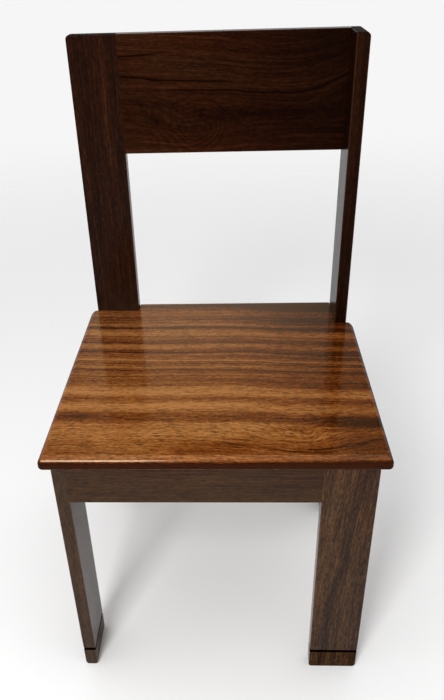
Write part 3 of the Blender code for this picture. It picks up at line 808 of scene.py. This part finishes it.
melt = draw(tree, "ShaderNodeMixShader", {0: away, 1: matt.outputs[0], 2: clear.outputs[0]})
tree.links.new(melt.outputs[0], tree.nodes["Material Output"].inputs["Surface"])
floor.data.materials.append(pale)


def hang_lamp(name, place, target, width, depth, energy):
    """A soft rectangular lamp that faces a target."""
    lamp = bpy.data.lights.new(name, "AREA")
    lamp.shape = "RECTANGLE"
    lamp.size = width
    lamp.size_y = depth
    lamp.energy = energy
    hung = bpy.data.objects.new(name, lamp)
    hung.location = place
    hung.rotation_euler = (Vector(target) - Vector(place)).to_track_quat("-Z", "Y").to_euler()
    bpy.context.scene.collection.objects.link(hung)


LAMP_PLACE = (-0.58, -1.72, 1.75)
LAMP_TARGET = (-0.1, -0.1, 0.45)
hang_lamp("window_light", LAMP_PLACE, LAMP_TARGET, width=0.55, depth=0.75, energy=31)

# The surround by its direction: a plain level, and what each part of the room adds to it or takes away
OPEN_LEVEL = 0.92
LIT_COLOUR = (0.67, 0.61, 0.56, 1.0)
world = bpy.data.worlds.new("studio")
bpy.context.scene.world = world
world.use_nodes = True
tree = world.node_tree
direction = draw(tree, "ShaderNodeTexCoord").outputs["Generated"]
sky_x, sky_y, sky_z = draw(tree, "ShaderNodeSeparateXYZ", {0: direction}).outputs
forwards = reckon(tree, "MULTIPLY", sky_y, -1.0)
rearwards = rise(tree, sky_y, 0.35, 0.65)
middle_height = reckon(tree, "MULTIPLY", rise(tree, sky_z, 0.20, 0.40), rise(tree, sky_z, 0.82, 0.66))
ceiling = rise(tree, sky_z, 0.66, 0.82)
rear_wall = reckon(tree, "MULTIPLY", middle_height, rearwards)
right_wall = reckon(tree, "MULTIPLY", middle_height, rise(tree, sky_x, 0.05, 0.35))
front_wall = reckon(tree, "MULTIPLY", rise(tree, sky_z, -0.05, 0.20), rise(tree, forwards, 0.0, 0.5))
front_dusk = reckon(tree, "MULTIPLY", rise(tree, forwards, 0.74, 0.95), rise(tree, sky_z, 0.22, 0.02))
room = [
    (middle_height, -0.42),
    (ceiling, 0.40),
    (rear_wall, -0.28),
    (right_wall, -0.14),
    (front_wall, -0.22),
    (front_dusk, -0.30),
]
level = OPEN_LEVEL
for part, brightness in room:
    level = reckon(tree, "MULTIPLY_ADD", part, brightness, level)
lit_width = reckon(tree, "MULTIPLY", rise(tree, sky_x, -0.25, -0.17), rise(tree, sky_x, 0.22, -0.08))
lit_height = reckon(tree, "MULTIPLY", rise(tree, sky_z, 0.30, 0.40), rise(tree, sky_z, 0.59, 0.45))
lit_wall = reckon(tree, "MULTIPLY", reckon(tree, "MULTIPLY", lit_width, lit_height), rearwards)
studio = blend_colour(tree, lit_wall, level, LIT_COLOUR)
tree.links.new(studio, tree.nodes["Background"].inputs["Color"])

# The camera's place and turn, in metres and radians. Its focal length and axis are in pixels of the photo
CAMERA_PLACE = (0.02957, -0.97412, 1.03774)
PITCH = 0.56783
YAW = -0.04944
ROLL = 0.03255
PHOTO_WIDTH = 444
PHOTO_HEIGHT = 700
FOCAL_LENGTH = 706.34
AXIS_X = 205.99
AXIS_Y = 384.66
SENSOR = 36
forward = Vector((math.sin(YAW) * math.cos(PITCH), math.cos(YAW) * math.cos(PITCH), -math.sin(PITCH)))
sideways = Vector((math.cos(YAW), -math.sin(YAW), 0))
downward = forward.cross(sideways)
image_right = math.cos(ROLL) * sideways + math.sin(ROLL) * downward
image_down = -math.sin(ROLL) * sideways + math.cos(ROLL) * downward
lens = bpy.data.cameras.new("camera")
lens.sensor_width = SENSOR
lens.lens = FOCAL_LENGTH / PHOTO_HEIGHT * SENSOR
lens.shift_x = (PHOTO_WIDTH / 2 - AXIS_X) / PHOTO_HEIGHT
lens.shift_y = (AXIS_Y - PHOTO_HEIGHT / 2) / PHOTO_HEIGHT
camera = bpy.data.objects.new("camera", lens)
axes = Matrix((image_right, -image_down, -forward)).transposed().to_4x4()
camera.matrix_world = Matrix.Translation(CAMERA_PLACE) @ axes
bpy.context.scene.collection.objects.link(camera)
bpy.context.scene.camera = camera
bpy.context.scene.view_settings.view_transform = "Standard"
